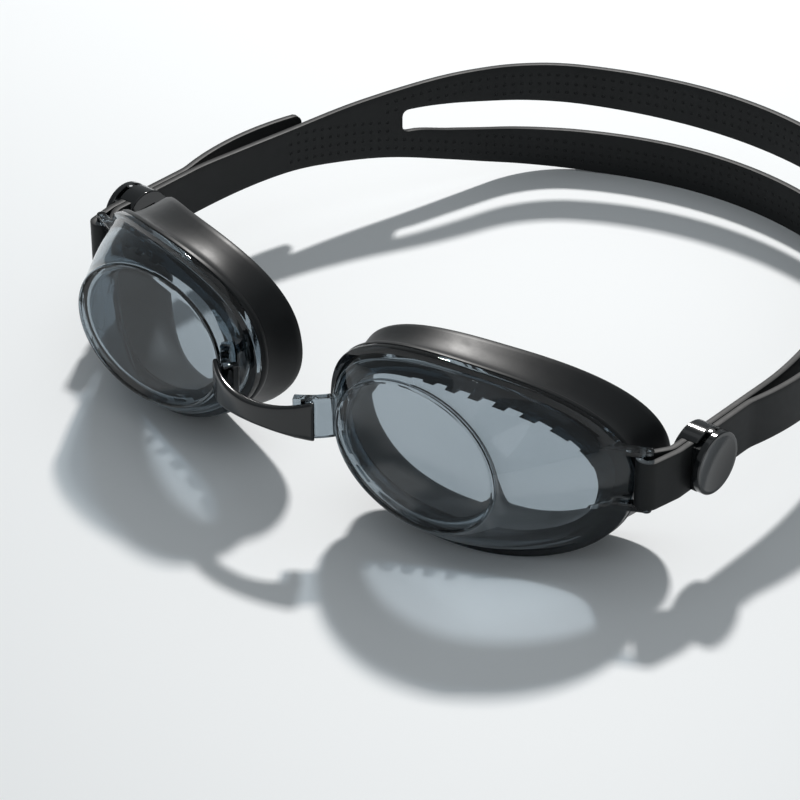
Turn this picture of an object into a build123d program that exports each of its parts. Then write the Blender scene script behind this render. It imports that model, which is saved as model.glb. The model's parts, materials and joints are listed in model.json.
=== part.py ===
"""Swim goggles: two clear pods with soft gaskets, a nose bridge and a split strap on push buckles.

Millimetres. X runs to the wearer's left, Y from the nose to the back of the head, Z up.
The goggles lie on the plane z = 0 and the origin is under the middle of their bounding box.
While a piece is drawn, y is measured from the front face of the two windows.
"""

import os
from math import asin, atan2, cos, degrees, hypot, pi, radians, sin

from build123d import *

os.makedirs("parts", exist_ok=True)

# Clear pods
window_half_width = 21.0
window_half_height = 16.0
window_centre_x = 36.9
window_centre_z = 23.7
window_lean = 2.3
window_thickness = 2.0
pod_wall = 1.9
pod_mouth_x = 41.5
pod_mouth_y = 16.8
pod_mouth_z = 22.9
pod_mouth_half_width = 33.1
pod_mouth_half_height = 26.1
pod_mouth_swing = 18.0
flange_thickness = 1.6

# Outline that the flange and the gasket share, and how it drifts as it goes back
eye_half_width = 33.1
eye_half_height = 21.3
eye_fullness = 2.25
eye_droop = 7.2
eye_centre_x = 44.15
eye_centre_z = 23.7
eye_drift_x = -0.158
eye_drift_z = -0.11

# Depth of the flange and of the gasket's rear edge: middle, slope towards the temple, bow
flange_middle_x = 41.55
flange_depth = 8.0
flange_slope = 0.32
flange_bow = 0.0089
rim_middle_x = 39.5
rim_depth = 20.1
rim_slope = 0.385
rim_bow = 0.0098

# Gasket and the ring that holds it
gasket_wall_x = 6.5
gasket_wall_z = 5.8
ring_height = 4.0
ring_foot = 1.2
ring_wall = 1.3
ring_foot_width = 1.6
ring_gap = 0.25
notch_count = 22
notch_width = 2.6

# Nose bridge
bridge_radius = 20.1
bridge_front_y = -9.0
bridge_thickness = 1.8
bridge_centre_z = 24.35
bridge_waist = 4.5
bridge_end_height = 9.8
bridge_end_x = 13.7
nose_lug_thickness = 2.0
nose_lug_height = 9.6
nose_slot_length = 1.8
hook_height = 7.0
hook_length = 1.5
hook_gap = 0.1

# Strap
strap_thickness = 1.5
strap_width = 11.0
strap_z = 21.8
layer_gap = 0.1
strap_inner_x = 76.9
strap_bend_radius = 150.0
strap_bend_start_y = 57.0
strap_bend_angle = 23.0
strap_run = 26.5
strap_corner_radius = 35.0
strap_corner_angle = 60.0
strap_top_z = 30.45
slot_end_y = 117.0
slot_end_depth = 1.6
tail_turn_y = 55.0
tail_turn_radius = 12.0
tail_turn_angle = 13.0
tail_radius = 69.0
tail_sweep = 31.0
loop_to_buckle = 1.3
loop_fillet = 4.0

# Temple lug
bar_radius = 1.1
bar_x = 76.2
bar_y = 25.8
lug_arm = 1.7
lug_root_x = 66.0
strap_clearance = 0.1
wrap_clearance = 0.05

# Buckle, with its button rocking on a pin
buckle_y = 40.0
buckle_radius = 6.9
buckle_back = 1.05
buckle_edge = 0.35
buckle_window_y = 4.6
buckle_window_z = 7.0
cheek_rise = 0.55
ear_radius = 0.95
ear_length = 1.3
pin_radius = 0.4
pin_clearance = 0.04
pin_rise = 0.95
barrel_radius = 0.8
button_radius = 6.85
button_thickness = 1.5
button_dish = 0.7
button_rim = 0.8
button_edge = 0.3
jaw_gap = 0.03
jaw_near = 1.6
jaw_far = 4.8
tooth_pitch = 0.8
tooth_depth = 0.35
spring_wire_radius = 0.12
spring_turns = 4
spring_leg = 3.4
spring_hook = 0.8
spring_seat = 0.03

# Worked out from the sizes above
channel_low = strap_inner_x - layer_gap / 2
layer_pitch = strap_thickness + layer_gap
channel_high = strap_inner_x + strap_thickness + layer_pitch + layer_gap / 2
channel_half = strap_width / 2 + strap_clearance
inner_layer_x = strap_inner_x + strap_thickness / 2
outer_layer_x = inner_layer_x + layer_pitch
loop_start_y = buckle_y - buckle_radius - loop_to_buckle
pin_x = channel_high + pin_rise
spring_mean_radius = pin_radius + 2 * pin_clearance + spring_wire_radius
spring_outer_radius = spring_mean_radius + spring_wire_radius
spring_pitch = 2.5 * spring_wire_radius
spring_height = spring_turns * spring_pitch
spring_y = channel_half - 0.25 - spring_height / 2
button_gap = spring_outer_radius + spring_seat
button_low = pin_x + button_gap
bridge_centre_y = bridge_front_y + bridge_radius
far = 200.0


def eye_plane(y):
    """Plane across the view at depth y, centred on the outline, its x axis along the droop."""
    centre = (eye_centre_x + eye_drift_x * y, y, eye_centre_z + eye_drift_z * y)
    along = (cos(radians(eye_droop)), 0, -sin(radians(eye_droop)))
    return Plane(origin=centre, x_dir=along, z_dir=(0, -1, 0))


def eye_outline(inset_x=0.0, inset_z=0.0, points=24):
    """Superellipse that outlines the flange and the gasket, made smaller by two insets."""
    half_width = eye_half_width - inset_x
    half_height = eye_half_height - inset_z
    outline = []
    for index in range(points):
        angle = 2 * pi * index / points
        across = abs(cos(angle)) ** (2 / eye_fullness)
        up = abs(sin(angle)) ** (2 / eye_fullness)
        across = across if cos(angle) >= 0 else -across
        up = up if sin(angle) >= 0 else -up
        outline.append((half_width * across, half_height * up))
    return make_face(Spline(*outline, periodic=True))


def eye_prism(inset_x=0.0, inset_z=0.0):
    """Slanted prism on the outline, longer than anything that is cut from it."""
    front = -15.0
    length = 75.0
    drift = Vector(eye_drift_x, 1, eye_drift_z)
    face = eye_plane(front) * eye_outline(inset_x, inset_z)
    return extrude(face, amount=length * drift.length, dir=drift)


def depth_curve(middle_x, depth, slope, bow, shift=0.0):
    """Parabola in plan, from the nose past the temple."""
    reach = 48.0
    start = (middle_x - reach, depth - slope * reach + bow * reach**2 + shift)
    control = (middle_x, depth - bow * reach**2 + shift)
    end = (middle_x + reach, depth + slope * reach + bow * reach**2 + shift)
    return Bezier(start, control, end)


def slab(front_curve, back_curve):
    """Everything between two depth curves, from below the goggles to above them."""
    nose_side = Line(back_curve @ 0, front_curve @ 0)
    temple_side = Line(front_curve @ 1, back_curve @ 1)
    face = make_face([front_curve, temple_side, back_curve, nose_side])
    return Pos(0, 0, -20) * extrude(face, amount=90)


def flange_curve(shift=0.0):
    return depth_curve(flange_middle_x, flange_depth, flange_slope, flange_bow, shift)


def rim_curve():
    return depth_curve(rim_middle_x, rim_depth, rim_slope, rim_bow)


def pod_cone(inset, front):
    """Body that widens from the window to the pod's mouth, inset from its outside."""
    lean = radians(window_lean)
    middle = (window_centre_x, front, window_centre_z)
    window = Plane(origin=middle, x_dir=(1, 0, 0), z_dir=(0, -cos(lean), sin(lean)))
    swing = radians(pod_mouth_swing)
    droop = Rot(0, 0, -eye_droop)
    mouth_at = (pod_mouth_x, pod_mouth_y, pod_mouth_z)
    mouth = Plane(
        origin=mouth_at,
        x_dir=(cos(swing), sin(swing), 0),
        z_dir=(sin(swing), -cos(swing), 0),
    )
    near = window * Ellipse(window_half_width - inset / 2, window_half_height - inset / 2)
    wide = Ellipse(pod_mouth_half_width - inset, pod_mouth_half_height - inset)
    return loft([near, mouth * droop * wide], ruled=True)


def temple_lug():
    """Vertical bar that the strap loops round, on two arms from the flange."""
    top = strap_z + channel_half
    reach = bar_x + bar_radius
    bar = Pos(bar_x, bar_y, strap_z) * Cylinder(bar_radius, 2 * (channel_half + lug_arm))
    lug = bar
    for z in (top, strap_z - channel_half - lug_arm):
        outline = Polyline(
            (lug_root_x, 19.0),
            (reach - 2 * bar_radius, bar_y - bar_radius),
            (bar_x, bar_y - bar_radius),
            (bar_x, bar_y + bar_radius),
            (lug_root_x + 4, bar_y + bar_radius - 0.6),
            close=True,
        )
        lug += Pos(0, 0, z) * extrude(make_face(outline), amount=lug_arm)
    return lug


def ring_sector(inner, outer, start, end, height):
    """Part of an upright ring about the bridge's centre, angles from straight ahead to +x."""
    centre = (0, bridge_centre_y)

    def at(radius, angle):
        turn = radians(angle)
        return (centre[0] + radius * sin(turn), centre[1] - radius * cos(turn))

    middle = (start + end) / 2
    outer_arc = ThreePointArc(at(outer, start), at(outer, middle), at(outer, end))
    inner_arc = ThreePointArc(at(inner, end), at(inner, middle), at(inner, start))
    sides = [Line(outer_arc @ 1, inner_arc @ 0), Line(inner_arc @ 1, outer_arc @ 0)]
    face = make_face([outer_arc, sides[0], inner_arc, sides[1]])
    return Pos(0, 0, bridge_centre_z - height / 2) * extrude(face, amount=height)


bridge_inner = bridge_radius - bridge_thickness / 2
bridge_outer = bridge_radius + bridge_thickness / 2
lug_outer = bridge_inner - hook_gap
lug_inner = lug_outer - nose_lug_thickness
bridge_end_angle = degrees(asin(bridge_end_x / bridge_radius))
slot_angle = degrees(nose_slot_length / lug_outer)
bar_angle = slot_angle * 1.5


def nose_lug():
    """Tab that carries the bridge, with an upright slot for its hook."""
    slot_start = bridge_end_angle - slot_angle
    tab = ring_sector(lug_inner, lug_outer, slot_start - bar_angle, 66, nose_lug_height)
    slot_height = hook_height + 2 * hook_gap
    return tab - ring_sector(lug_inner - 1, bridge_outer, slot_start, bridge_end_angle, slot_height)


def lens():
    """Clear pod: window, side wall, flange, temple lug and nose lug in one moulding."""
    shell = pod_cone(0, 0) & slab(flange_curve(-40), flange_curve())
    shell += eye_prism() & slab(flange_curve(-flange_thickness), flange_curve())
    shell += temple_lug() + nose_lug()
    shell -= eye_prism() & slab(flange_curve(), rim_curve())
    return shell - pod_cone(pod_wall, window_thickness)


def gasket():
    """Soft cup from the flange to the face, open in the middle, resting flat on the table."""
    cup = eye_prism() & slab(flange_curve(), rim_curve())
    cup -= eye_prism(gasket_wall_x, gasket_wall_z)
    return cup & Pos(0, 0, far / 2) * Box(far, far, far)


def gasket_ring():
    """Hard ring inside the pod that holds the gasket's front face, its edge notched."""
    edge = eye_prism(gasket_wall_x - ring_wall, gasket_wall_z - ring_wall)
    foot_inset = gasket_wall_x - ring_wall - ring_foot_width
    foot_inset_z = gasket_wall_z - ring_wall - ring_foot_width
    ring = edge & slab(flange_curve(-ring_height), flange_curve())
    ring += eye_prism(foot_inset, foot_inset_z) & slab(flange_curve(-ring_foot), flange_curve())
    ring -= eye_prism(gasket_wall_x, gasket_wall_z)
    notch_depth = slab(flange_curve(-ring_height - 5), flange_curve(-ring_foot - 0.6))
    middle = eye_plane(flange_depth).location
    for index in range(notch_count):
        turn = 360 * (index + 0.5) / notch_count
        spoke = Pos(eye_half_width, 0, 0) * Box(2 * eye_half_width, notch_width, far)
        ring -= (middle * Rot(0, 0, turn) * spoke) & notch_depth
    return ring & pod_cone(pod_wall + ring_gap, window_thickness + ring_gap)


def nose_bridge():
    """Curved band, narrow over the nose, with a hook behind each end."""
    end = bridge_end_angle
    band = ring_sector(bridge_inner, bridge_outer, -end, end, 2 * nose_lug_height)
    rise = (bridge_end_height - bridge_waist) / 2
    half = bridge_waist / 2
    x = bridge_end_x
    upper = Bezier((-x, half + rise), (0, half - rise), (x, half + rise))
    lower = Bezier((x, -half - rise), (0, rise - half), (-x, -half - rise))
    sides = [Line(upper @ 1, lower @ 0), Line(lower @ 1, upper @ 0)]
    side_view = make_face([upper, sides[0], lower, sides[1]])
    middle = Plane(origin=(0, 30, bridge_centre_z), x_dir=(1, 0, 0), z_dir=(0, -1, 0))
    band &= extrude(middle * side_view, amount=60)
    start = end - slot_angle + degrees(hook_gap / lug_outer)
    last = end - degrees(hook_gap / lug_outer)
    back = lug_inner - hook_gap
    hook = ring_sector(back - hook_length, bridge_inner + 0.4, start, last, hook_height)
    hook += ring_sector(back - hook_length, back, start - bar_angle / 2, last, hook_height)
    return band + hook + mirror(hook, about=Plane.YZ)


def strap_path():
    """Plan of the main strap, from the left buckle to the middle of the back."""
    start = (inner_layer_x, loop_start_y)
    straight = Line(start, (inner_layer_x, strap_bend_start_y))
    bend = JernArc(straight @ 1, (0, 1), strap_bend_radius, strap_bend_angle)
    run = Line(bend @ 1, (bend @ 1) + (bend % 1) * strap_run)
    turn = strap_corner_angle - strap_bend_angle
    corner = JernArc(run @ 1, run % 1, strap_corner_radius, turn)
    closing_radius = (corner @ 1).X / cos(radians(strap_corner_angle))
    back = JernArc(corner @ 1, corner % 1, closing_radius, 90 - strap_corner_angle)
    return [straight, bend, run, corner, back]


def ribbon(edges, height, z):
    """Upright strip of the strap's thickness along a plan path."""
    path = Wire(edges)
    across = Plane(origin=path @ 0, x_dir=(0, 0, 1), z_dir=path % 0)
    section = across * Rectangle(height, strap_thickness)
    return Pos(0, 0, z) * sweep(section, path=path)


def strap_side_view():
    """Height of the main strap seen from the side, with the long slot that splits it."""
    low = strap_z - strap_width / 2
    high = strap_z + strap_width / 2
    start = strap_bend_start_y
    level = [(1, 0), (1, 0)]
    rise = [(start, high), (72, high - 0.5), (88, high - 0.2), (108, 28.95)]
    rise += [(129, strap_top_z), (150, 29.2), (168, 28.3)]
    upper = [
        Line((0, high), (start, high)),
        Spline(*rise, tangents=level),
        Line((168, 28.3), (far, 28.3)),
    ]
    drop = [(start, low), (86, low - 0.1), (101, 14.4), (115, 11.8), (129, 7.7)]
    drop += [(143, 3.4), (155, 0.7), (165, 0)]
    lower = [
        Line((0, low), (start, low)),
        Spline(*drop, tangents=level),
        Line((165, 0), (far, 0)),
    ]
    ends = [Line((0, low), (0, high)), Line((far, 0), (far, 28.3))]
    tip_y = slot_end_y + slot_end_depth
    above = (tip_y, 23.9)
    below = (tip_y, 18.0)
    tip = ThreePointArc(below, (slot_end_y, 20.95), above)
    roof = Spline(above, (129, 23.05), (143, 20.6), (155, 18.9), (175, 17.2), tangents=level)
    floor = Spline(below, (129, 15.85), (143, 12.8), (155, 11.1), (175, 11.1), tangents=level)
    slot = make_face([tip, roof, Line(roof @ 1, floor @ 1), floor])
    return make_face(upper + lower + ends) - slot


def tangent_point(point, side):
    """Where a line from a point touches the strap's turn round the lug's bar."""
    radius = bar_radius + wrap_clearance + strap_thickness / 2
    away = (point[0] - bar_x, point[1] - bar_y)
    distance = hypot(*away)
    turn = atan2(away[1], away[0]) + side * (pi / 2 - asin(radius / distance))
    return (bar_x + radius * cos(turn), bar_y + radius * sin(turn))


def strap_end():
    """Loop round the lug's bar and the free tail on the buckle's outer side."""
    inner = (inner_layer_x, loop_start_y)
    outer = (outer_layer_x, loop_start_y)
    touch_in = tangent_point(inner, 1)
    touch_out = tangent_point(outer, -1)
    nose_of_loop = (bar_x, bar_y - bar_radius - wrap_clearance - strap_thickness / 2)
    way_in = FilletPolyline(
        (inner_layer_x, strap_bend_start_y), inner, touch_in, radius=loop_fillet
    )
    turn = ThreePointArc(touch_in, nose_of_loop, touch_out)
    way_out = FilletPolyline(touch_out, outer, (outer_layer_x, tail_turn_y), radius=loop_fillet)
    flare = JernArc(way_out @ 1, (0, 1), tail_turn_radius, -tail_turn_angle)
    tail = JernArc(flare @ 1, flare % 1, tail_radius, tail_sweep)
    edges = way_in.edges() + [turn] + way_out.edges() + [flare, tail]
    return ribbon(edges, strap_width, strap_z)


def strap():
    """One moulded strap: split band behind the head, loops at the lugs, free tails."""
    half = ribbon(strap_path(), 2 * strap_top_z, strap_top_z / 2)
    side_view = extrude(Plane.YZ * strap_side_view(), amount=far, both=True)
    half = (half & side_view) + strap_end()
    return half + mirror(half, about=Plane.YZ)


def buckle_place():
    """Local frame of the left buckle: x rearwards, y up, z away from the head."""
    return Plane(origin=(0, buckle_y, strap_z), x_dir=(0, 1, 0), z_dir=(1, 0, 0)).location


def disc(radius, low, high):
    return Pos(0, 0, (low + high) / 2) * Cylinder(radius, high - low)


def upright_rod(radius, length, y=0.0):
    """Round bar along the pin's axis, centred at height y."""
    return Pos(0, y, pin_x) * Rot(90, 0, 0) * Cylinder(radius, length)


def buckle_body():
    """Back plate with a window, two cheeks beside the strap and an ear on each for the pin."""
    plate_low = channel_low - buckle_back
    body = disc(buckle_radius, plate_low, channel_high + cheek_rise)
    body = fillet(body.edges().filter_by(GeomType.CIRCLE), buckle_edge)
    middle = (channel_low + channel_high) / 2
    body -= Pos(0, 0, middle + cheek_rise) * Box(
        far, 2 * channel_half, channel_high - channel_low + 2 * cheek_rise
    )
    body -= Pos(0, 0, plate_low) * Box(buckle_window_y, buckle_window_z, 4 * buckle_back)
    for side in (1, -1):
        y = side * (channel_half + ear_length / 2)
        body += upright_rod(ear_radius, ear_length, y)
        web = Box(2 * ear_radius, ear_length, pin_rise)
        body += Pos(0, y, pin_x - pin_rise / 2) * web
    hook_hole = Pos(0, spring_y, pin_x + spring_mean_radius) * Rot(90, 0, 0)
    hook_radius = spring_wire_radius + pin_clearance
    body -= hook_hole * Cylinder(hook_radius, spring_height + 2 * spring_hook + 0.2)
    return body - upright_rod(pin_radius + pin_clearance, far)


def buckle_pin():
    """Steel pin through both ears and the button's barrel."""
    return upright_rod(pin_radius, 2 * (channel_half + ear_length) - 0.1)


def buckle_button():
    """Dished round button that rocks on the pin, with a toothed jaw towards the lens."""
    top = button_low + button_thickness
    button = disc(button_radius, button_low, top)
    bowl_half = button_radius - button_rim
    bowl_radius = (bowl_half**2 + button_dish**2) / (2 * button_dish)
    button -= Pos(0, 0, top + bowl_radius - button_dish) * Rot(90, 0, 0) * Sphere(bowl_radius)
    rims = button.edges().filter_by(GeomType.CIRCLE).group_by(Axis.Z)
    button = fillet(rims[-1], button_edge)
    button = chamfer(button.edges().filter_by(GeomType.CIRCLE).group_by(Axis.Z)[0], button_edge / 2)
    button += upright_rod(barrel_radius, 2 * channel_half - 0.3)
    web = Box(2 * barrel_radius, 2 * channel_half - 0.3, button_gap + 0.2)
    button += Pos(0, 0, pin_x + button_gap / 2 + 0.1) * web
    jaw_low = channel_high - layer_gap / 2 + jaw_gap
    jaw = Pos(-(jaw_near + jaw_far) / 2, 0, (jaw_low + button_low) / 2) * Box(
        jaw_far - jaw_near, strap_width - 1, button_low - jaw_low
    )
    button += jaw
    teeth = int((jaw_far - jaw_near) / tooth_pitch)
    for index in range(teeth):
        x = -jaw_near - (index + 0.5) * tooth_pitch
        groove = Pos(x, 0, jaw_low) * Rot(0, 45, 0) * Box(tooth_depth, far, tooth_depth)
        button -= groove
    pocket = ear_radius + 2 * pin_clearance
    for side in (1, -1):
        y = side * (channel_half + far / 2 - 0.15)
        button -= upright_rod(pocket, far, y)
    room = spring_outer_radius + 2 * pin_clearance
    button -= upright_rod(room, spring_height + 4 * spring_wire_radius, spring_y)
    leg_room = Box(spring_leg, spring_pitch + 2 * spring_wire_radius, button_gap)
    leg_y = spring_y - spring_height / 2
    button -= Pos(spring_leg / 2, leg_y, pin_x + button_gap / 2) * leg_room
    return button - upright_rod(pin_radius + pin_clearance, far)


def buckle_spring():
    """Torsion spring round the pin that lifts the button's rear half off the strap."""
    coil = Rot(0, 0, 90) * Helix(spring_pitch, spring_height, spring_mean_radius, lefthand=True)
    section = Circle(spring_wire_radius)
    wire = sweep(Plane(origin=coil @ 0, z_dir=coil % 0) * section, path=coil)
    wire += extrude(Plane(origin=coil @ 1, z_dir=coil % 1) * section, amount=spring_leg)
    wire += Pos(coil @ 0) * Sphere(1.02 * spring_wire_radius)
    hook_foot = Plane(origin=coil @ 0, z_dir=(0, 0, -1))
    wire += extrude(hook_foot * section, amount=spring_hook)
    return Pos(0, spring_y + spring_height / 2, pin_x) * Rot(90, 0, 0) * wire


front_y = bridge_front_y - bridge_thickness / 2
back_arc = strap_path()[-1]
rear_y = (back_arc @ 1).Y + strap_thickness / 2
middle_y = (front_y + rear_y) / 2


def write(node, solid):
    """Put the origin under the middle of the goggles and save one node."""
    export_step(Pos(0, -middle_y, 0) * solid, f"parts/{node}.step")


place = buckle_place()
pairs = {
    "lens": lens(),
    "gasket": gasket(),
    "gasket_ring": gasket_ring(),
    "buckle_body": place * buckle_body(),
    "buckle_button": place * buckle_button(),
    "buckle_pin": place * buckle_pin(),
    "buckle_spring": place * buckle_spring(),
}
for name, piece in pairs.items():
    write(f"{name}_left", piece)
    write(f"{name}_right", mirror(piece, about=Plane.YZ))
write("nose_bridge", nose_bridge())
write("strap", strap())
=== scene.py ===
"""Swim goggles on a pale floor: clear pods, soft gaskets, nose bridge, split strap and buckles.

Metres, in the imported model's frame: X to the wearer's left, Y to the back of the head, Z up.
"""
import json
import bpy
from math import asin, atan2, cos, degrees, hypot, pi, radians, sin, tan
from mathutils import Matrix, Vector

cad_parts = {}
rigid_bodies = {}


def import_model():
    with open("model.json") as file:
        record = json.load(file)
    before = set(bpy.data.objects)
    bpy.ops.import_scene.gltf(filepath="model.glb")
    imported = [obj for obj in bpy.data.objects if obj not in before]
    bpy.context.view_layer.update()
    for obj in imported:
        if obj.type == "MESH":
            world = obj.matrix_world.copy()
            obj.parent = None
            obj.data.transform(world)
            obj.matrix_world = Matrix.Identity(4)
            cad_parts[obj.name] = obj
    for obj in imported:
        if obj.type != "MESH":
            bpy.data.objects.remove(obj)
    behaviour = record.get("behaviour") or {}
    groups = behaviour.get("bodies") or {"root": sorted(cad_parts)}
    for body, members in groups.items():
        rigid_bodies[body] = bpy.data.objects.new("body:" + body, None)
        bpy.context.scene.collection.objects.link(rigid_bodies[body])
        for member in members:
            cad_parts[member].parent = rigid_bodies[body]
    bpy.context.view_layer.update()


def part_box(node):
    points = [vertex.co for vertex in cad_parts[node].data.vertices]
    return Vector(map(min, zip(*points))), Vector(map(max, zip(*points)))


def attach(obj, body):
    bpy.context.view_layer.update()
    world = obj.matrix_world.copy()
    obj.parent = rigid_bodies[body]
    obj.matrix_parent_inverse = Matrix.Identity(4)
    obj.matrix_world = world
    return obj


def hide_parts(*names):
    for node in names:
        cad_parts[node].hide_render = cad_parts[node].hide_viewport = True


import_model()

# ---- Camera, floor and light ----
# A long lens looks down from the wearer's left front. A small bright lamp stands behind the
# goggles on their right, and two large weak ones fill from above and from the front.
MM = 0.001
front_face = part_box("buckle_body_left")[0].y - (40.0 - 6.9) * MM
camera_turn, camera_height, camera_distance = radians(42.96), radians(33.14), 0.650
back = Vector((
    sin(camera_turn) * cos(camera_height),
    -cos(camera_turn) * cos(camera_height),
    sin(camera_height),
))
between_eyes = Vector((0, front_face, 3.6 * MM))
right = Vector((cos(camera_turn), sin(camera_turn), 0))
aim = between_eyes + camera_distance * (0.0400 * right + 0.0236 * back.cross(right))
bpy.ops.object.select_all(action="DESELECT")
eye = between_eyes + camera_distance * back
bpy.ops.object.camera_add(location=eye, rotation=(aim - eye).to_track_quat("-Z", "Y").to_euler())
camera = bpy.context.object
camera.data.lens = 139.1
camera.data.sensor_width = 36
camera.data.clip_start = 0.01
bpy.context.scene.camera = camera


class Socket:
    """A shader value that takes part in ordinary arithmetic."""

    def __init__(self, tree, out):
        self.tree = tree
        self.out = out

    def node(self, kind, settings=None, **inputs):
        made = self.tree.nodes.new(kind)
        for name, value in (settings or {}).items():
            setattr(made, name, value)
        for name, value in inputs.items():
            name = int(name[1:]) if name[0] == "_" else name.replace("_", " ")
            if isinstance(value, Socket):
                self.tree.links.new(value.out, made.inputs[name])
            else:
                made.inputs[name].default_value = value
        return made

    def get(self, made, name=0):
        return Socket(self.tree, made.outputs[name])

    def math(self, operation, *values):
        inputs = {f"_{index}": value for index, value in enumerate(values)}
        return self.get(self.node("ShaderNodeMath", {"operation": operation}, **inputs))

    def __add__(self, other):
        return self.math("ADD", self, other)

    def __mul__(self, other):
        return self.math("MULTIPLY", self, other)

    def clamp(self, low, high):
        return self.math("MINIMUM", self.math("MAXIMUM", self, low), high)

    def tone(self, dark, light):
        mix = self.node("ShaderNodeMix", {"data_type": "RGBA"}, _0=self, _6=dark, _7=light)
        return self.get(mix, 2)


def new_material(name, **sockets):
    """A material whose unvarying values sit on its own shader."""
    made = bpy.data.materials.new(name)
    made.use_nodes = True
    shader = made.node_tree.nodes["Principled BSDF"]
    for socket, value in sockets.items():
        shader.inputs[socket.replace("_", " ")].default_value = value
    place = made.node_tree.nodes.new("ShaderNodeTexCoord")
    return made, shader, Socket(made.node_tree, place.outputs["Object"])


def noise(place, scale, detail=3, roughness=0.5):
    made = place.node(
        "ShaderNodeTexNoise", Vector=place, Scale=scale, Detail=detail, Roughness=roughness
    )
    return place.get(made)


def feed(shader, value, socket):
    value.tree.links.new(value.out, shader.inputs[socket])


def bump(shader, height, depth, strength=1.0):
    made = height.node("ShaderNodeBump", Height=height, Distance=depth, Strength=strength)
    feed(shader, height.get(made), "Normal")


def wear(thing, material):
    """Puts one material on the whole of a thing."""
    thing.data.materials.clear()
    thing.data.materials.append(material)
    thing.data.polygons.foreach_set("material_index", [0] * len(thing.data.polygons))


bpy.ops.mesh.primitive_plane_add(size=6)
floor = bpy.context.object
floor.name = "floor"
floor_paint, floor_shader, floor_place = new_material("pale_floor", Roughness=0.55)
floor_tone = noise(floor_place, 3).tone((0.80, 0.83, 0.85, 1), (0.86, 0.88, 0.89, 1))
feed(floor_shader, floor_tone, "Base Color")
wear(floor, floor_paint)


def lamp(name, place, size, power, colour):
    """Square lamp that faces the middle of the goggles."""
    place = Vector(place)
    turn = (Vector((0, 0, 0.02)) - place).to_track_quat("-Z", "Y").to_euler()
    bpy.ops.object.light_add(type="AREA", location=place, rotation=turn)
    made = bpy.context.object
    made.name = name
    made.data.size = size
    made.data.energy = power
    made.data.color = colour


lamp("key_lamp", (-0.55, 0.75, 0.95), 0.09, 15, (1.0, 0.98, 0.96))
lamp("top_lamp", (0.1, 0.1, 1.2), 1.2, 1.5, (0.94, 0.97, 1.0))
lamp("front_lamp", (0.9, -0.7, 0.6), 0.7, 1.0, (0.93, 0.97, 1.0))
world = bpy.data.worlds.new("studio")
world.use_nodes = True
world.node_tree.nodes["Background"].inputs["Color"].default_value = (0.86, 0.92, 0.95, 1)
world.node_tree.nodes["Background"].inputs["Strength"].default_value = 0.28
bpy.context.scene.world = world
bpy.context.scene.view_settings.view_transform = "Standard"

# ---- Clear pods ----
# Each eye has one moulding of smoke-tinted polycarbonate: a flat oval window with a fine raised
# lip, a flared side wall, a thin flange for the gasket, a nose lug and a barred temple lug.
sides = {"left": 1, "right": -1}
window_half = (21.0, 16.0)
window_centre = (36.9, 23.7)
window_lean = tan(radians(2.3))
eye_half = (33.1, 21.3)
eye_fullness = 2.25
eye_droop = radians(7.2)
eye_centre = (44.15, 23.7)
eye_drift = (-0.158, -0.11)
flange_bend = (41.55, 8.0, 0.32, 0.0089)
rim_bend = (39.5, 20.1, 0.385, 0.0098)
flange_thickness = 1.6
strap_height = 21.8


def place_point(x, y, z):
    """Millimetres from the windows' front face to metres in the model's frame."""
    return Vector((x * MM, front_face + y * MM, z * MM))


def depth_at(bend, x):
    middle, depth, slope, bow = bend
    return depth + slope * (x - middle) + bow * (x - middle) ** 2


def eye_edge(angle, inset, depth, shift=0.0):
    """Point on the eye's outline: depth 0 is on the flange, 1 on the gasket's rear edge."""
    across = abs(cos(angle)) ** (2 / eye_fullness) * (1 if cos(angle) >= 0 else -1)
    up = abs(sin(angle)) ** (2 / eye_fullness) * (1 if sin(angle) >= 0 else -1)
    across *= eye_half[0] - inset
    up *= eye_half[1] - inset
    flat_x = across * cos(eye_droop) + up * sin(eye_droop)
    flat_z = up * cos(eye_droop) - across * sin(eye_droop)
    y = 12.0
    for _ in range(8):
        x = eye_centre[0] + eye_drift[0] * y + flat_x
        y = depth_at(flange_bend, x) * (1 - depth) + depth_at(rim_bend, x) * depth + shift
    return Vector((x, y, eye_centre[1] + eye_drift[1] * y + flat_z))


def window_edge(angle, inset, shift=0.0):
    """Point on the window's oval, which leans back a little."""
    x = window_centre[0] + (window_half[0] - inset) * cos(angle)
    rise = (window_half[1] - inset) * sin(angle)
    return Vector((x, shift + window_lean * rise, window_centre[1] + rise))


def wall_ring(start, end, share, bulge):
    """Ring between two others, pushed outwards so that the wall is gently crowned."""
    out = 4 * share * (1 - share) * bulge
    return lambda angle: (
        start(angle).lerp(end(angle), share) + out * Vector((cos(angle), 0, sin(angle)))
    )


def ringed(name, rings, around, closed):
    """Skin over rings of points: a circle extruded once per ring, then each ring in its place."""
    bpy.ops.object.select_all(action="DESELECT")
    bpy.ops.mesh.primitive_circle_add(vertices=around, radius=1)
    thing = bpy.context.object
    thing.name = thing.data.name = name
    bpy.ops.object.mode_set(mode="EDIT")
    bpy.ops.mesh.select_mode(type="VERT")
    bpy.ops.mesh.select_all(action="SELECT")
    for _ in rings[1:]:
        bpy.ops.mesh.extrude_region_move(TRANSFORM_OT_translate={"value": (0, 0, 1)})
    bpy.ops.object.mode_set(mode="OBJECT")
    last = len(rings) - 1
    groups = [(0, last)] if closed else [(0,), (last,)]
    for group in groups:
        for corner in thing.data.vertices:
            corner.select = round(corner.co.z) in group
        bpy.ops.object.mode_set(mode="EDIT")
        if closed:
            bpy.ops.mesh.bridge_edge_loops()
        else:
            bpy.ops.mesh.edge_face_add()
        bpy.ops.mesh.select_all(action="DESELECT")
        bpy.ops.object.mode_set(mode="OBJECT")
    for corner in thing.data.vertices:
        angle = atan2(corner.co.y, corner.co.x)
        corner.co = place_point(*rings[round(corner.co.z)](angle))
    tidy_faces()
    return thing


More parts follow.
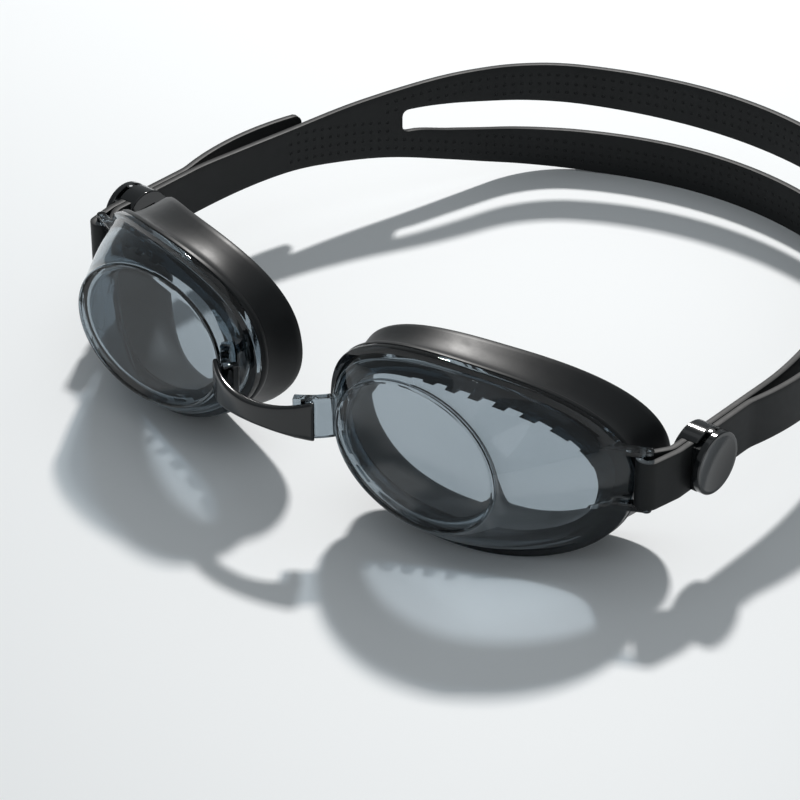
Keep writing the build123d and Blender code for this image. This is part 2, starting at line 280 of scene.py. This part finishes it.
def tidy_faces():
    """Turns every face outwards and smooths the shading except over sharp edges."""
    bpy.ops.object.mode_set(mode="EDIT")
    bpy.ops.mesh.select_all(action="SELECT")
    bpy.ops.mesh.remove_doubles(threshold=1e-6)
    bpy.ops.mesh.normals_make_consistent(inside=False)
    bpy.ops.object.mode_set(mode="OBJECT")
    bpy.ops.object.shade_smooth_by_angle(angle=radians(35))


def modify(thing, kind, **settings):
    """Adds a modifier and applies it."""
    bpy.context.view_layer.objects.active = thing
    made = thing.modifiers.new(kind.lower(), kind)
    for name, value in settings.items():
        setattr(made, name, value)
    bpy.ops.object.modifier_apply(modifier=made.name)


def fuse(thing, other):
    """Joins another closed shape into this one with no skin left inside."""
    modify(thing, "BOOLEAN", operation="UNION", solver="EXACT", object=other)
    bpy.data.objects.remove(other)


def mirrored(thing, name):
    """Copy for the right eye, with its own mesh and its faces turned outwards."""
    bpy.ops.object.select_all(action="DESELECT")
    thing.select_set(True)
    bpy.context.view_layer.objects.active = thing
    bpy.ops.object.duplicate()
    twin = bpy.context.object
    twin.name = twin.data.name = name
    for corner in twin.data.vertices:
        corner.co.x = -corner.co.x
    bpy.ops.object.mode_set(mode="EDIT")
    bpy.ops.mesh.select_all(action="SELECT")
    bpy.ops.mesh.flip_normals()
    bpy.ops.object.mode_set(mode="OBJECT")
    return twin


def bent_sheet(name, columns, rows, place, cut=None):
    """Grid of faces put in place by column and row, with some faces left out."""
    bpy.ops.object.select_all(action="DESELECT")
    bpy.ops.mesh.primitive_grid_add(x_subdivisions=columns, y_subdivisions=rows, size=2)
    thing = bpy.context.object
    thing.name = thing.data.name = name
    bpy.ops.object.mode_set(mode="EDIT")
    bpy.ops.mesh.select_mode(type="FACE")
    bpy.ops.mesh.select_all(action="DESELECT")
    bpy.ops.object.mode_set(mode="OBJECT")
    spots = {}
    for corner in thing.data.vertices:
        column = round((corner.co.x + 1) / 2 * columns)
        row = round((corner.co.y + 1) / 2 * rows)
        spots[corner.index] = (column, row)
    for face in thing.data.polygons:
        column = min(spots[index][0] for index in face.vertices)
        row = min(spots[index][1] for index in face.vertices)
        face.select = bool(cut and cut(column, row))
    for corner in thing.data.vertices:
        corner.co = place_point(*place(*spots[corner.index]))
    bpy.ops.object.mode_set(mode="EDIT")
    bpy.ops.mesh.delete(type="FACE")
    bpy.ops.object.mode_set(mode="OBJECT")
    return thing


window_thickness = 2.0
wall_foot = lambda angle: eye_edge(angle, 1.5, 0, -flange_thickness)
wall_top = lambda angle: window_edge(angle, 0, 0.5)
inner_foot = lambda angle: eye_edge(angle, 3.5, 0)
inner_top = lambda angle: window_edge(angle, 1.5, window_thickness + 0.4)
pod_rings = [
    lambda angle: window_edge(angle, 1.3, 0),
    lambda angle: window_edge(angle, 1.0, 0),
    lambda angle: window_edge(angle, 0.8, -0.3),
    lambda angle: window_edge(angle, 0.45, -0.35),
    lambda angle: window_edge(angle, 0.15, -0.15),
    wall_top,
]
pod_rings += [wall_ring(wall_top, wall_foot, share / 8, 0.9) for share in range(1, 8)]
pod_rings += [
    wall_foot,
    lambda angle: eye_edge(angle, 0.35, 0, -flange_thickness),
    lambda angle: eye_edge(angle, 0.1, 0, 0.1 - flange_thickness),
    lambda angle: eye_edge(angle, 0.0, 0, 0.35 - flange_thickness),
    lambda angle: eye_edge(angle, 0.0, 0, -0.2),
    lambda angle: eye_edge(angle, 0.2, 0, -0.02),
    inner_foot,
]
pod_rings += [wall_ring(inner_foot, inner_top, share / 8, 1.1) for share in range(1, 8)]
pod_rings += [
    inner_top,
    lambda angle: window_edge(angle, 2.4, window_thickness),
    lambda angle: window_edge(angle, 3.2, window_thickness),
]
pod = ringed("pod_left", pod_rings, 144, closed=False)

bar_x, bar_y, bar_radius, arm_thickness, slot_half = 76.2, 25.8, 1.1, 1.7, 5.6
bpy.ops.mesh.primitive_cylinder_add(
    vertices=32,
    radius=bar_radius * MM,
    depth=2 * (slot_half + arm_thickness) * MM,
    location=place_point(bar_x, bar_y, strap_height),
)
temple_bar = bpy.context.object
bpy.ops.object.transform_apply(location=True)
modify(temple_bar, "BEVEL", width=0.3 * MM, segments=2, limit_method="ANGLE")
fuse(pod, temple_bar)
for way in (1, -1):
    bpy.ops.mesh.primitive_cube_add(size=1)
    arm = bpy.context.object
    for corner in arm.data.vertices:
        level = strap_height + way * (slot_half + arm_thickness / 2) + corner.co.z * arm_thickness
        root = (67.4, 20.2) if corner.co.y < 0 else (69.4, 24.2)
        near, far = (bar_x + 0.2, bar_y - bar_radius + 0.1), (bar_x, bar_y + bar_radius - 0.1)
        tip = near if corner.co.y < 0 else far
        corner.co = place_point(*(tip if corner.co.x > 0 else root), level)
    tidy_faces()
    modify(arm, "BEVEL", width=0.35 * MM, segments=2, limit_method="ANGLE")
    fuse(pod, arm)

bridge_centre = (0.0, 11.1)
bridge_radius = 20.1
lug_mid_radius, lug_thickness, lug_height = 18.1, 2.0, 9.6
lug_angles = [29.6, 33.5, 37.6, 42.97, 47, 51, 55, 59, 63]
lug_rows = [-0.5, -0.375, 0.375, 0.5]


def on_bridge(angle, radius, z):
    turn = radians(angle)
    return (radius * sin(turn), bridge_centre[1] - radius * cos(turn), z)


nose_lug = bent_sheet(
    "nose_lug",
    len(lug_angles) - 1,
    len(lug_rows) - 1,
    lambda column, row: on_bridge(
        lug_angles[column], lug_mid_radius, 24.35 + lug_rows[row] * lug_height
    ),
    cut=lambda column, row: column == 2 and row == 1,
)
modify(nose_lug, "SOLIDIFY", thickness=lug_thickness * MM, offset=0)
modify(nose_lug, "BEVEL", width=0.35 * MM, segments=2, limit_method="ANGLE")
tidy_faces()
fuse(pod, nose_lug)
tidy_faces()

clear, clear_shader, clear_place = new_material(
    "smoke_polycarbonate", Base_Color=(0.30, 0.355, 0.395, 1), Roughness=0.01, IOR=1.5,
    Transmission_Weight=1.0,
)
flow = noise(clear_place, 25, 2)
feed(clear_shader, flow.tone((0.28, 0.335, 0.375, 1), (0.32, 0.375, 0.415, 1)), "Base Color")
bump(clear_shader, flow, 0.00004, 0.1)
tree = clear.node_tree
shadow = clear_place.node("ShaderNodeBsdfTransparent", Color=(0.50, 0.54, 0.57, 1))
path = clear_place.node("ShaderNodeLightPath")
both = clear_place.node("ShaderNodeMixShader")
to_lamp, from_floor = (clear_place.get(path, f"Is {kind} Ray") for kind in ("Shadow", "Diffuse"))
through = to_lamp.math("MAXIMUM", to_lamp, from_floor)
tree.links.new(through.out, both.inputs[0])
tree.links.new(clear_shader.outputs[0], both.inputs[1])
tree.links.new(shadow.outputs[0], both.inputs[2])
tree.links.new(both.outputs[0], tree.nodes["Material Output"].inputs["Surface"])
for side, thing in (("left", pod), ("right", mirrored(pod, "pod_right"))):
    wear(thing, clear)
    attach(thing, "goggles")
    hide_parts(f"lens_{side}")

# ---- Gaskets and their rings ----
# Each pod has a soft cup of black silicone, with a bead behind the flange and a rolled rim at
# the face. A clear ring with a notched edge sits inside the pod and keeps the cup seated.


def cup_edge(inset, depth, shift=0.0):
    """Ring on the cup's section; the goggles' weight keeps it level with the table."""

    def ring(angle):
        spot = eye_edge(angle, inset, depth, shift)
        return Vector((spot.x, spot.y, max(spot.z, 0.0)))

    return ring


cup_rings = [
    cup_edge(0.95, 0, 0.03),
    cup_edge(0.3, 0, 0.05),
    cup_edge(-0.05, 0, 0.35),
    cup_edge(-0.15, 0, 0.9),
    cup_edge(-0.05, 0, 1.5),
    cup_edge(0.3, 0, 2.0),
    cup_edge(0.75, 0, 2.4),
    cup_edge(1.0, 0.25),
    cup_edge(1.0, 0.36),
    cup_edge(0.8, 0.5),
    cup_edge(0.35, 0.68),
    cup_edge(-0.15, 0.83),
    cup_edge(-0.35, 0.91),
    cup_edge(-0.2, 0.97),
    cup_edge(0.4, 1.01),
    cup_edge(1.5, 1.02),
    cup_edge(2.9, 1.01),
    cup_edge(4.0, 0.97),
    cup_edge(4.8, 0.9),
    cup_edge(5.2, 0.8),
    cup_edge(5.3, 0.6),
    cup_edge(5.6, 0.35),
    cup_edge(6.2, 0.12),
    cup_edge(6.5, 0, 0.03),
    cup_edge(4.0, 0, 0.03),
]
cup = ringed("gasket_cup_left", cup_rings, 144, closed=True)

silicone, silicone_shader, silicone_place = new_material(
    "soft_black_silicone", Base_Color=(0.012, 0.013, 0.014, 1), Roughness=0.42, IOR=1.43,
    Specular_IOR_Level=0.3,
)
mottle = noise(silicone_place, 90, 3)
feed(silicone_shader, mottle.tone((0.009, 0.010, 0.011, 1), (0.016, 0.017, 0.018, 1)), "Base Color")
feed(silicone_shader, noise(silicone_place, 400, 4) * 0.12 + 0.34, "Roughness")
bump(silicone_shader, noise(silicone_place, 1800, 2), 0.00002, 0.25)
for side, thing in (("left", cup), ("right", mirrored(cup, "gasket_cup_right"))):
    wear(thing, silicone)
    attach(thing, "goggles")
    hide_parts(f"gasket_{side}")

for side in sides:
    wear(bpy.data.objects[f"gasket_ring_{side}"], clear)

# ---- Nose bridge ----
# One curved piece of glossy black nylon, narrow over the nose with a thicker rolled edge. A
# hook at each end passes through the slot in the pod's nose lug and holds it with a bead.
bridge_thickness, bridge_waist, bridge_end_height = 1.8, 4.8, 9.2
bridge_end_angle = 42.97
bridge_height = 24.35


def bridge_section(angle, trim):
    """Section of the band at an angle from the middle; trim rounds its two ends."""
    spread = (sin(radians(angle)) / sin(radians(bridge_end_angle))) ** 2
    half = bridge_waist / 2
    half += (bridge_end_height - bridge_waist) / 2 * spread

    def ring(turn):
        across = abs(cos(turn)) ** 0.55 * (1 if cos(turn) >= 0 else -1)
        up = abs(sin(turn)) ** 0.55 * (1 if sin(turn) >= 0 else -1)
        rolled = 0.72 + 0.28 * abs(up) ** 4
        middle = max(0.0, 1 - abs(angle) / 27)
        stout = (bridge_thickness / 2 + 0.45 * middle) * trim
        radius = bridge_radius - 0.3 * middle + stout * across * rolled
        return on_bridge(angle, radius, bridge_height + up * (half - 0.6 * (1 - trim)))

    return ring


bridge_rings = []
for step in range(-20, 21):
    bridge_rings.append(bridge_section(step / 20 * (bridge_end_angle - 2), 1.0))
end_trims = ((1.2, 0.97), (0.6, 0.88), (0.2, 0.7), (0.0, 0.45))
for shy, trim in end_trims:
    bridge_rings.insert(0, bridge_section(shy - bridge_end_angle, trim))
    bridge_rings.append(bridge_section(bridge_end_angle - shy, trim))
bridge = ringed("nose_band", bridge_rings, 40, closed=False)


def hook_block(name, side, start, end, low, high, height):
    """Block between two angles and two radii about the bridge's centre, edges rounded."""
    bpy.ops.object.select_all(action="DESELECT")
    bpy.ops.mesh.primitive_cube_add(size=2)
    block = bpy.context.object
    block.name = block.data.name = name
    for corner in block.data.vertices:
        angle = (start, end)[corner.co.x > 0] * side
        radius = (low, high)[corner.co.y > 0]
        corner.co = place_point(*on_bridge(angle, radius, bridge_height + corner.co.z * height / 2))
    tidy_faces()
    modify(block, "BEVEL", width=0.3 * MM, segments=2, limit_method="ANGLE")
    return block


for side in sides.values():
    post = hook_block("hook_post", side, 37.9, 42.6, 15.6, bridge_radius - 0.4, 7.0)
    bead = hook_block("hook_bead", side, 34.2, 42.6, 15.5, 17.0, 7.0)
    fuse(post, bead)
    fuse(bridge, post)
tidy_faces()

gloss_black, gloss_shader, gloss_place = new_material(
    "gloss_black_nylon", Base_Color=(0.006, 0.007, 0.008, 1), Roughness=0.1, IOR=1.5,
    Coat_Weight=0.25, Coat_Roughness=0.06,
)
feed(gloss_shader, (noise(gloss_place, 160, 4) * 0.14 + 0.05).clamp(0.05, 0.2), "Roughness")
bump(gloss_shader, noise(gloss_place, 120, 2), 0.00003, 0.12)
wear(bridge, gloss_black)
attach(bridge, "goggles")
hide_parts("nose_bridge")

# ---- Strap ----
# One moulding of matt black silicone: a flat band that splits in two behind the head, folds
# round the bar of each temple lug, and ends in a free tail. Dimples on the inside grip the hair.
strap_thickness, strap_width = 1.5, 11.0
layer_start = (77.65, 57.0)
layer_gap, fold_start, fold_fillet = 1.6, 31.8, 4.0
wrap_radius = bar_radius + 0.05 + strap_thickness / 2
corner_sweep, back_sweep = radians(37), radians(30)
back_legs = [(150 * radians(23), radians(23)), (26.5, 0.0), (35 * corner_sweep, corner_sweep)]


def walk(start, heading, legs, distance):
    """Point and heading reached along straight legs and arcs, each a length and a turn."""
    x, y = start
    for length, turn in legs:
        step = min(distance, length)
        if turn:
            radius = length / turn
            x += radius * (sin(heading + step / radius) - sin(heading))
            y -= radius * (cos(heading + step / radius) - cos(heading))
            heading += step / radius
        else:
            x += step * cos(heading)
            y += step * sin(heading)
        distance -= step
        if distance <= 0:
            break
    return x, y, heading


corner_end = walk(layer_start, pi / 2, back_legs, 1000)
back_radius = corner_end[0] / cos(radians(60))
back_legs.append((back_radius * back_sweep, back_sweep))
back_length = sum(length for length, turn in back_legs)


def touch_angle(x, way):
    """Angle on the bar's wrap where the strap leaves it for a layer at this X."""
    away = (x - bar_x, fold_start - bar_y)
    return atan2(away[1], away[0]) + way * (pi / 2 - asin(wrap_radius / hypot(*away)))


def fold_run(x, angle):
    """Free run between a layer's fillet and the bar, and the turn between the two."""
    tip = (bar_x + wrap_radius * cos(angle), bar_y + wrap_radius * sin(angle))
    bend = abs(atan2(tip[0] - x, fold_start - tip[1]))
    return hypot(tip[0] - x, tip[1] - fold_start), bend


inner_touch = touch_angle(layer_start[0], 1)
outer_touch = touch_angle(layer_start[0] + layer_gap, -1)
inner_run, inner_bend = fold_run(layer_start[0], inner_touch)
outer_run, outer_bend = fold_run(layer_start[0] + layer_gap, outer_touch)
inner_cut, outer_cut = fold_fillet * tan(inner_bend / 2), fold_fillet * tan(outer_bend / 2)
wrap_sweep = pi + inner_bend - outer_bend
fold_legs = [
    (layer_start[1] - fold_start - inner_cut, 0.0),
    (fold_fillet * inner_bend, -inner_bend),
    (inner_run - inner_cut, 0.0),
    (wrap_radius * wrap_sweep, wrap_sweep),
    (outer_run - outer_cut, 0.0),
    (fold_fillet * outer_bend, outer_bend),
    (55.0 - fold_start - outer_cut, 0.0),
    (12 * radians(13), -radians(13)),
    (69 * radians(31), radians(31)),
]
fold_length = sum(length for length, turn in fold_legs)


def strap_plan(distance):
    """Point and outward direction on the left half; distances before 0 go round the fold."""
    if distance >= 0:
        x, y, heading = walk(layer_start, pi / 2, back_legs, distance)
        return x, y, sin(heading), -cos(heading)
    x, y, heading = walk(layer_start, -pi / 2, fold_legs, -distance)
    return x, y, -sin(heading), cos(heading)


def eased(value, table):
    """Height on a smooth curve through depth and height pairs, level at both ends."""
    if value <= table[0][0]:
        return table[0][1]
    if value >= table[-1][0]:
        return table[-1][1]
    slopes = [0.0]
    for before, after in zip(table, table[2:]):
        slopes.append((after[1] - before[1]) / (after[0] - before[0]))
    slopes.append(0.0)
    index = max(i for i, pair in enumerate(table) if pair[0] <= value)
    (low, start), (high, end) = table[index], table[index + 1]
    span = high - low
    share = (value - low) / span
    keep = share * share * (3 - 2 * share)
    leave = share * (1 - share) ** 2 * slopes[index]
    leave -= share * share * (1 - share) * slopes[index + 1]
    return start + (end - start) * keep + span * leave


strap_low = strap_height - strap_width / 2
strap_high = strap_height + strap_width / 2
top_line = [(57, strap_high), (72, strap_high - 0.5), (88, strap_high - 0.2), (108, 28.95)]
top_line += [(129, 30.45), (150, 29.2), (168, 28.3)]
bottom_line = [(57, strap_low), (86, strap_low - 0.1), (101, 14.4), (115, 11.8), (129, 7.7)]
bottom_line += [(143, 3.4), (155, 0.7), (165, 0.0)]
slot_start, slot_corner, slot_middle, slot_half, slot_nose = 117.0, 1.6, 20.95, 2.95, 1.5
roof_line = [(118.6, 23.9), (129, 23.05), (143, 20.6), (155, 18.9), (175, 17.2)]
floor_line = [(118.6, 18.0), (129, 15.85), (143, 12.8), (155, 11.1), (175, 11.1)]
tail_corner = 2.0


def strap_lines(distance):
    """Heights of the strap's lower edge, slot floor, slot roof and upper edge."""
    if distance < 0:
        short = tail_corner - min(fold_length + distance, tail_corner)
        trim = tail_corner - (tail_corner**2 - short**2) ** 0.5
        middle = strap_height
        return strap_low + trim, middle - slot_nose, middle + slot_nose, strap_high - trim
    y = strap_plan(distance)[1]
    low, high = eased(y, bottom_line), eased(y, top_line)
    middle = eased(y, [(57, strap_height), (slot_start, slot_middle)])
    if y < slot_start:
        return low, middle - slot_nose, middle + slot_nose, high
    if y < slot_start + slot_corner:
        rest = (slot_start + slot_corner - y) / slot_corner
        half = slot_nose + (slot_half - slot_nose) * (1 - rest * rest) ** 0.5
        return low, middle - half, middle + half, high
    return low, eased(y, floor_line), eased(y, roof_line), high


def depth_to_distance(depth):
    """Distance along the strap at which it reaches this depth behind the lenses."""
    low, high = 0.0, back_length
    for _ in range(40):
        middle = (low + high) / 2
        low, high = (middle, high) if strap_plan(middle)[1] < depth else (low, middle)
    return low


stations = [-fold_length + short for short in (0.0, 0.1, 0.4, 0.9)]
travelled = -fold_length
for length, turn in fold_legs[::-1] + back_legs:
    steps = max(1, round(length / 1.8), round(abs(degrees(turn)) / 9))
    stations += [travelled + length * step / steps for step in range(1, steps + 1)]
    travelled += length
corner_parts = (0, 0.1, 0.35, 0.7, 1)
corner_places = [depth_to_distance(slot_start + slot_corner * part) for part in corner_parts]
stations = [
    place for place in stations
    if min(abs(place - corner) for corner in corner_places) > 0.5
]
stations = sorted(stations + corner_places)
slot_column = stations.index(corner_places[0])
last_station = len(stations) - 1
band_rows = 4


def strap_spot(column, row):
    """Where a point of the strap's middle sheet lies; the right half mirrors the left."""
    side = 1 if column <= last_station else -1
    distance = stations[column if side == 1 else 2 * last_station - column]
    x, y = strap_plan(distance)[:2]
    low, floor_z, roof_z, high = strap_lines(distance)
    if row <= band_rows:
        return side * x, y, low + (floor_z - low) * row / band_rows
    return side * x, y, roof_z + (high - roof_z) * (row - band_rows - 1) / band_rows


def in_slot(column, row):
    near = column if column < last_station else 2 * last_station - 1 - column
    return row == band_rows and near >= slot_column


strap = bent_sheet("split_strap", 2 * last_station, 2 * band_rows + 1, strap_spot, cut=in_slot)
modify(strap, "SOLIDIFY", thickness=strap_thickness * MM, offset=0, use_even_offset=True)
modify(strap, "BEVEL", width=0.35 * MM, segments=2, limit_method="ANGLE")
tidy_faces()

dimple_pitch, dimple_ball, dimple_sink = 2.3, 0.62, 0.24
first_dimple, first_upper_dimple = depth_to_distance(86.0), depth_to_distance(112.0)
half_count = int((back_length - first_dimple) / dimple_pitch)
dimple_count = 2 * half_count + 1
bpy.ops.object.select_all(action="DESELECT")
bpy.ops.mesh.primitive_uv_sphere_add(segments=10, ring_count=6, radius=dimple_ball)
dimples = bpy.context.object
dimples.name = dimples.data.name = "strap_dimples"
for count, offset in ((dimple_count, (dimple_pitch, 0, 0)), (8, (0, dimple_pitch, 0))):
    modify(
        dimples, "ARRAY", count=count, use_relative_offset=False,
        use_constant_offset=True, constant_offset_displace=offset,
    )
bpy.ops.object.mode_set(mode="EDIT")
bpy.ops.mesh.select_mode(type="VERT")
bpy.ops.mesh.select_all(action="DESELECT")
bpy.ops.object.mode_set(mode="OBJECT")
for corner in dimples.data.vertices:
    column, row = round(corner.co.x / dimple_pitch), round(corner.co.y / dimple_pitch)
    local_x, local_z = corner.co.x - column * dimple_pitch, corner.co.y - row * dimple_pitch
    side = 1 if column <= half_count else -1
    distance = back_length - dimple_pitch * abs(column - half_count)
    x, y, out_x, out_y = strap_plan(distance)
    low, floor_z, roof_z, high = strap_lines(distance)
    if row < 4:
        level = low + 2.6 + dimple_pitch * row
        ceiling = floor_z if y > slot_start - 2 else high
        corner.select = level > ceiling - 1.5
    else:
        level = high - 2.6 - dimple_pitch * (row - 4)
        corner.select = level < roof_z + 1.5 or distance < first_upper_dimple
    sink = -(strap_thickness / 2 - dimple_sink + dimple_ball) + corner.co.z
    spot_x = x + out_x * sink - out_y * local_x
    corner.co = place_point(side * spot_x, y + out_y * sink + out_x * local_x, level + local_z)
bpy.ops.object.mode_set(mode="EDIT")
bpy.ops.mesh.delete(type="VERT")
bpy.ops.mesh.select_all(action="SELECT")
bpy.ops.mesh.normals_make_consistent(inside=False)
bpy.ops.object.mode_set(mode="OBJECT")
modify(strap, "BOOLEAN", operation="DIFFERENCE", solver="EXACT", object=dimples)
bpy.data.objects.remove(dimples)
tidy_faces()

matt_black, matt_shader, matt_place = new_material(
    "matt_black_silicone", Base_Color=(0.012, 0.013, 0.013, 1), Roughness=0.5, IOR=1.43,
    Specular_IOR_Level=0.3,
)
lint = noise(matt_place, 60, 4)
feed(matt_shader, lint.tone((0.010, 0.011, 0.011, 1), (0.018, 0.019, 0.020, 1)), "Base Color")
feed(matt_shader, noise(matt_place, 500, 3) * 0.12 + 0.44, "Roughness")
bump(matt_shader, noise(matt_place, 2600, 2), 0.00002, 0.3)
wear(strap, matt_black)
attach(strap, "goggles")
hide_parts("strap")

# ---- Buckles ----
# A black nylon plate clips both layers of the strap and a round button rocks on a steel pin
# across it. A steel torsion spring lifts the button's rear so that its jaw bites the strap.
steel, steel_shader, steel_place = new_material(
    "drawn_steel", Base_Color=(0.56, 0.57, 0.58, 1), Roughness=0.25, Metallic=1.0
)
feed(steel_shader, noise(steel_place, 900, 3) * 0.2 + 0.18, "Roughness")
for side in sides:
    wear(bpy.data.objects[f"buckle_body_{side}"], gloss_black)
    wear(bpy.data.objects[f"buckle_button_{side}"], gloss_black)
    wear(bpy.data.objects[f"buckle_pin_{side}"], steel)
    wear(bpy.data.objects[f"buckle_spring_{side}"], steel)
